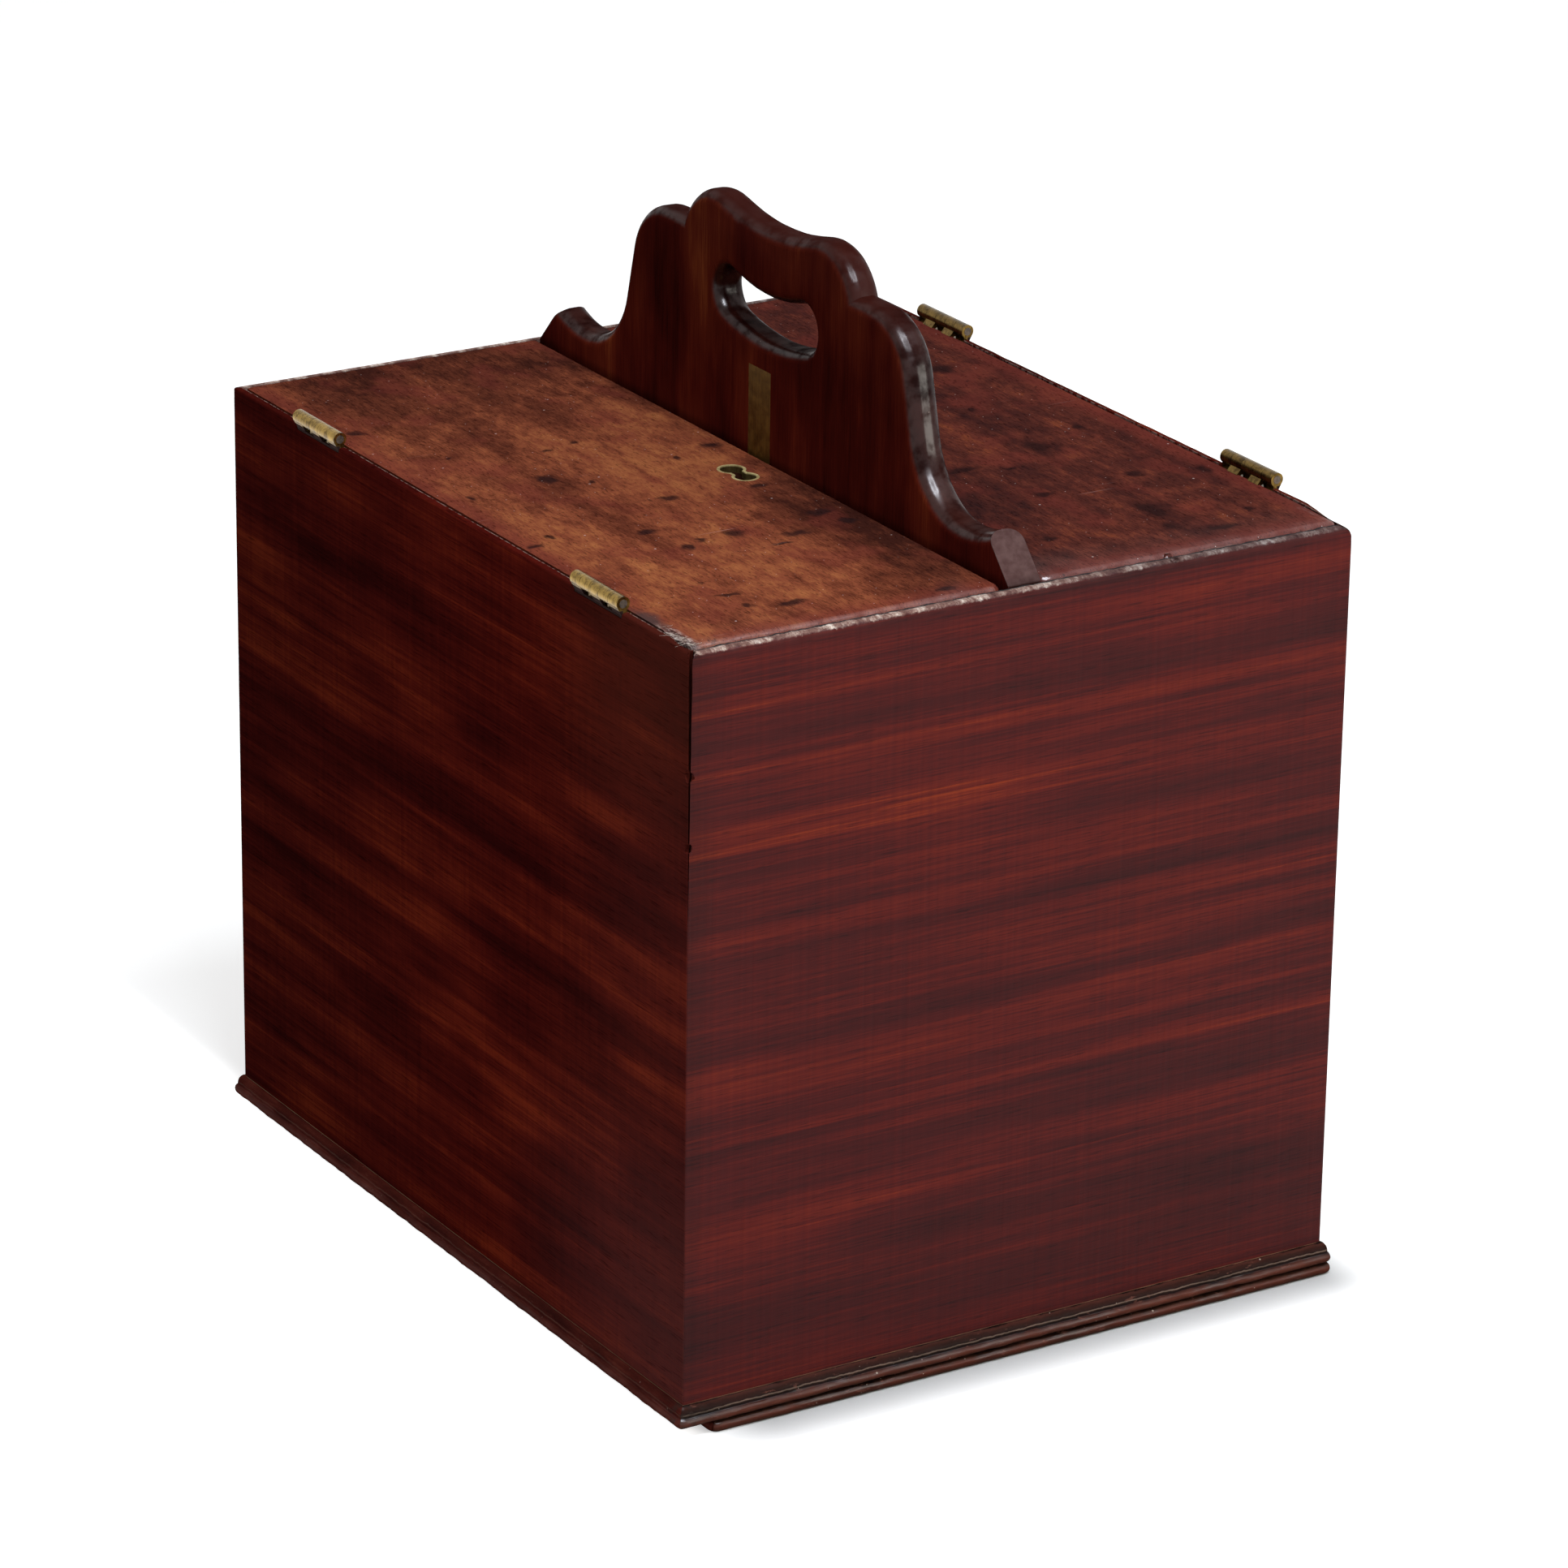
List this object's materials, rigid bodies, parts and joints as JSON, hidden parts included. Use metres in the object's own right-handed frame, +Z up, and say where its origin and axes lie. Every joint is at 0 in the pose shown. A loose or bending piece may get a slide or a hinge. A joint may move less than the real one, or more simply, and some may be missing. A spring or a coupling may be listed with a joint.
{
  "type": "wine caddy",
  "caption": "Mahogany bottle carrier: a box with hinged lids either side of a shaped carrying handle, locks, and partitions for bottles.",
  "frame": {"origin": "centre of the underside of the overall bounding box, on the floor", "axes": "+Z up; -Y is the front, one end of the handle; X is the width, so the two lids are at -X and +X"},
  "size_m": [0.314, 0.381, 0.4268],
  "materials": {
    "mahogany_front": "French-polished ribbon-figured mahogany, horizontal grain",
    "mahogany_side": "French-polished mahogany, grain along the depth",
    "mahogany_handle": "dark polished mahogany, worn by hands",
    "mahogany_lid": "faded polished mahogany",
    "mahogany_base": "polished mahogany moulding with dirt in its grooves",
    "unpolished_wood": "bare planed wood",
    "aged_brass": "aged brass",
    "dark_steel": "darkened steel"
  },
  "bodies": {
    "case": {"front_board": "mahogany_front", "back_board": "mahogany_side", "side_board_left": "mahogany_side", "side_board_right": "mahogany_side", "bottom_board": "unpolished_wood", "handle_board": "mahogany_handle", "bottle_partition_1_left": "unpolished_wood", "bottle_partition_1_right": "unpolished_wood", "bottle_partition_2_left": "unpolished_wood", "bottle_partition_2_right": "unpolished_wood", "base_moulding_front": "mahogany_base", "base_moulding_back": "mahogany_base", "base_moulding_left": "mahogany_base", "base_moulding_right": "mahogany_base", "plinth_front": "mahogany_base", "plinth_back": "mahogany_base", "plinth_left": "mahogany_base", "plinth_right": "mahogany_base", "hinge_case_leaf_front_left": "aged_brass", "hinge_case_leaf_front_right": "aged_brass", "hinge_case_leaf_back_left": "aged_brass", "hinge_case_leaf_back_right": "aged_brass", "hinge_pin_front_left": "dark_steel", "hinge_pin_front_right": "dark_steel", "hinge_pin_back_left": "dark_steel", "hinge_pin_back_right": "dark_steel", "hinge_case_screws_left": "dark_steel", "hinge_case_screws_right": "dark_steel", "keep_plate_left": "aged_brass", "keep_plate_right": "aged_brass", "keep_screws_left": "dark_steel", "keep_screws_right": "dark_steel"},
    "lid_left": {"lid_left": "mahogany_lid", "keyhole_escutcheon_left": "aged_brass", "lock_case_left": "aged_brass", "lock_screws_left": "dark_steel", "hinge_lid_screws_left": "dark_steel", "hinge_lid_leaf_front_left": "aged_brass", "hinge_lid_leaf_back_left": "aged_brass"},
    "lid_right": {"lid_right": "mahogany_lid", "keyhole_escutcheon_right": "aged_brass", "lock_case_right": "aged_brass", "lock_screws_right": "dark_steel", "hinge_lid_screws_right": "dark_steel", "hinge_lid_leaf_front_right": "aged_brass", "hinge_lid_leaf_back_right": "aged_brass"},
    "bolt_left": {"lock_bolt_left": "aged_brass"},
    "bolt_right": {"lock_bolt_right": "aged_brass"}
  },
  "joints": [
    {"name": "lid_left_hinge", "type": "hinge", "parent": "case", "child": "lid_left", "pos_m": [-0.1516, 0, 0.3293], "axis": [0, -1, 0], "range_deg": [0, 270]},
    {"name": "lid_right_hinge", "type": "hinge", "parent": "case", "child": "lid_right", "pos_m": [0.1516, 0, 0.3293], "axis": [0, 1, 0], "range_deg": [0, 270]},
    {"name": "bolt_left_slide", "type": "slide", "parent": "lid_left", "child": "bolt_left", "axis": [1, 0, 0], "range_m": [0, 0.006]},
    {"name": "bolt_right_slide", "type": "slide", "parent": "lid_right", "child": "bolt_right", "axis": [-1, 0, 0], "range_m": [0, 0.006]}
  ]
}
